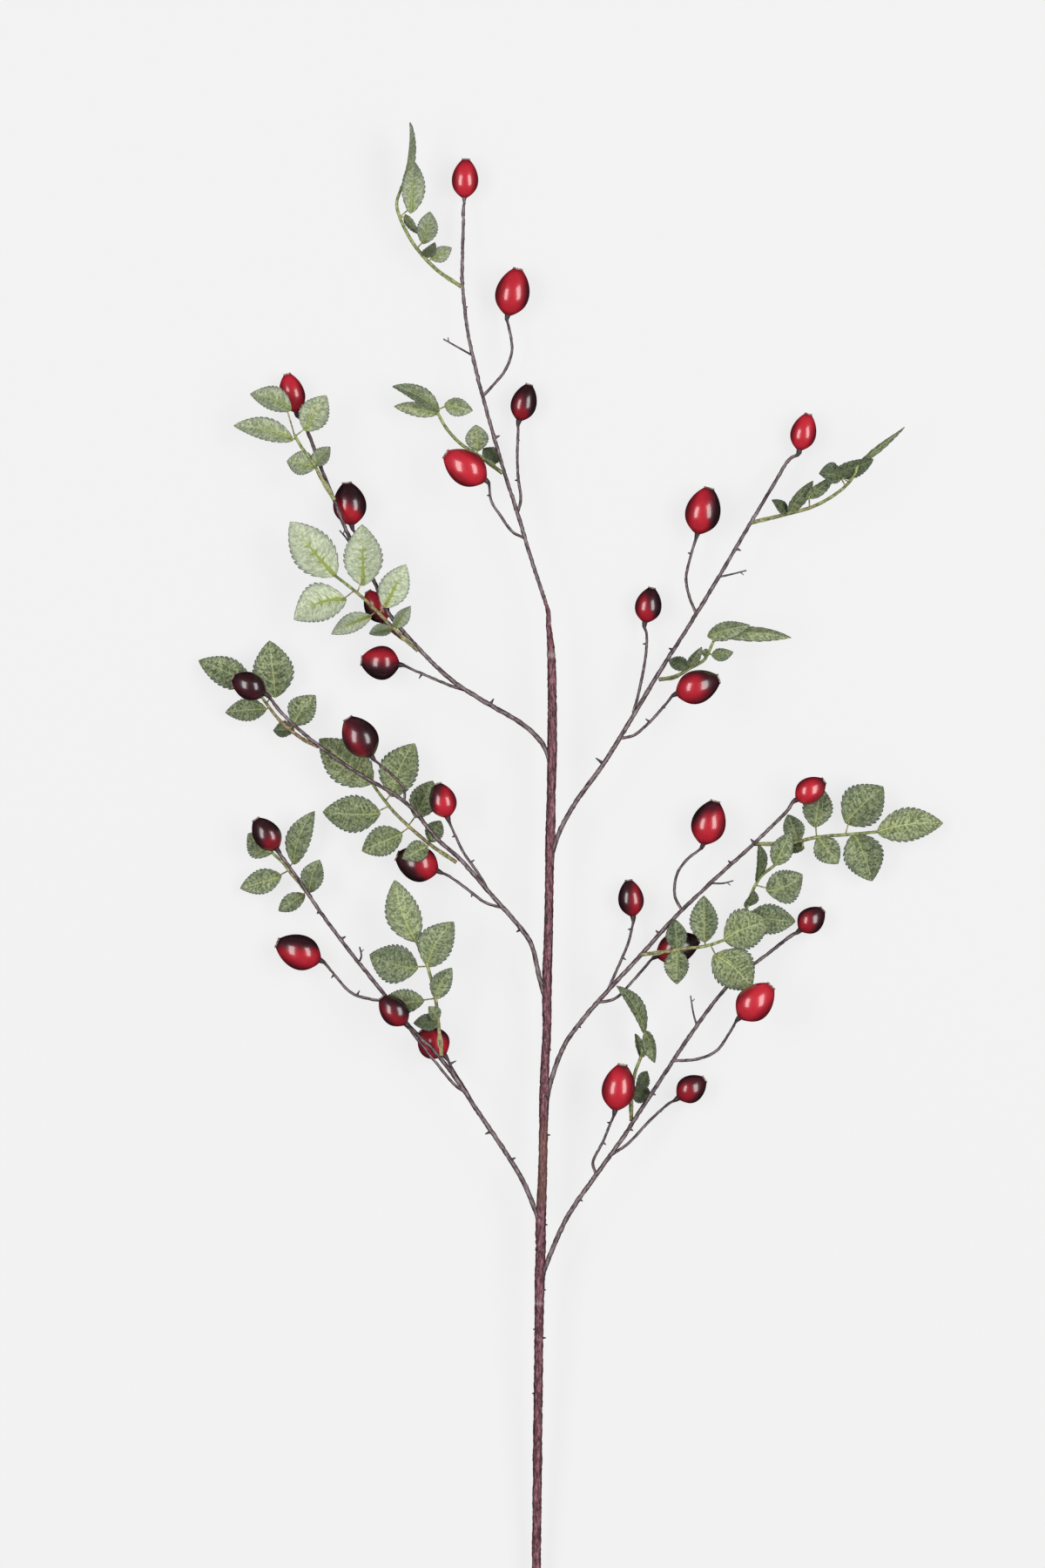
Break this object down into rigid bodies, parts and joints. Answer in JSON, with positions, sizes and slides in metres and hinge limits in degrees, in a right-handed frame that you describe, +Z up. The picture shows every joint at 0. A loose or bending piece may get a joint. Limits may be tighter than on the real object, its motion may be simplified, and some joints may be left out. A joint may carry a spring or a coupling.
{
  "type": "rose hip sprig",
  "caption": "Cut sprig of ripe red rose hips on a thorny branching stem with serrated compound leaves, lying on its back",
  "frame": {"origin": "On the ground under the middle of the sprig's bounding box", "axes": "+Y runs along the main stem from the cut end to the growing tip, +X is to the right with the sprig seen from above, +Z is up from the ground"},
  "size_m": [0.4285, 0.8998, 0.0396],
  "materials": {
    "bark": "dry plum-brown bark, matt, finely ridged",
    "ripe_skin": "waxy glossy skin, bright red turning to near-black maroon",
    "foliage": "matt leaf with lighter veins, paler below"
  },
  "bodies": {
    "root": {"main_stem": "bark", "shoot_a": "bark", "shoot_b": "bark", "shoot_c": "bark", "shoot_d": "bark", "shoot_e": "bark", "shoot_f": "bark", "hip_t1": "ripe_skin", "hip_t2": "ripe_skin", "hip_t3": "ripe_skin", "hip_t4": "ripe_skin", "hip_a1": "ripe_skin", "hip_a2": "ripe_skin", "hip_a3": "ripe_skin", "hip_a4": "ripe_skin", "hip_b1": "ripe_skin", "hip_b2": "ripe_skin", "hip_b3": "ripe_skin", "hip_b4": "ripe_skin", "hip_c1": "ripe_skin", "hip_c2": "ripe_skin", "hip_c3": "ripe_skin", "hip_c4": "ripe_skin", "hip_d1": "ripe_skin", "hip_d2": "ripe_skin", "hip_d3": "ripe_skin", "hip_d4": "ripe_skin", "hip_e1": "ripe_skin", "hip_e2": "ripe_skin", "hip_e3": "ripe_skin", "hip_e4": "ripe_skin", "hip_f1": "ripe_skin", "hip_f2": "ripe_skin", "hip_f3": "ripe_skin", "hip_f4": "ripe_skin", "leaf_t1": "foliage", "leaf_t2": "foliage", "leaf_a1": "foliage", "leaf_a2": "foliage", "leaf_b1": "foliage", "leaf_b2": "foliage", "leaf_c1": "foliage", "leaf_c2": "foliage", "leaf_d1": "foliage", "leaf_d2": "foliage", "leaf_e1": "foliage", "leaf_e2": "foliage", "leaf_f1": "foliage", "leaf_f2": "foliage"}
  },
  "joints": []
}
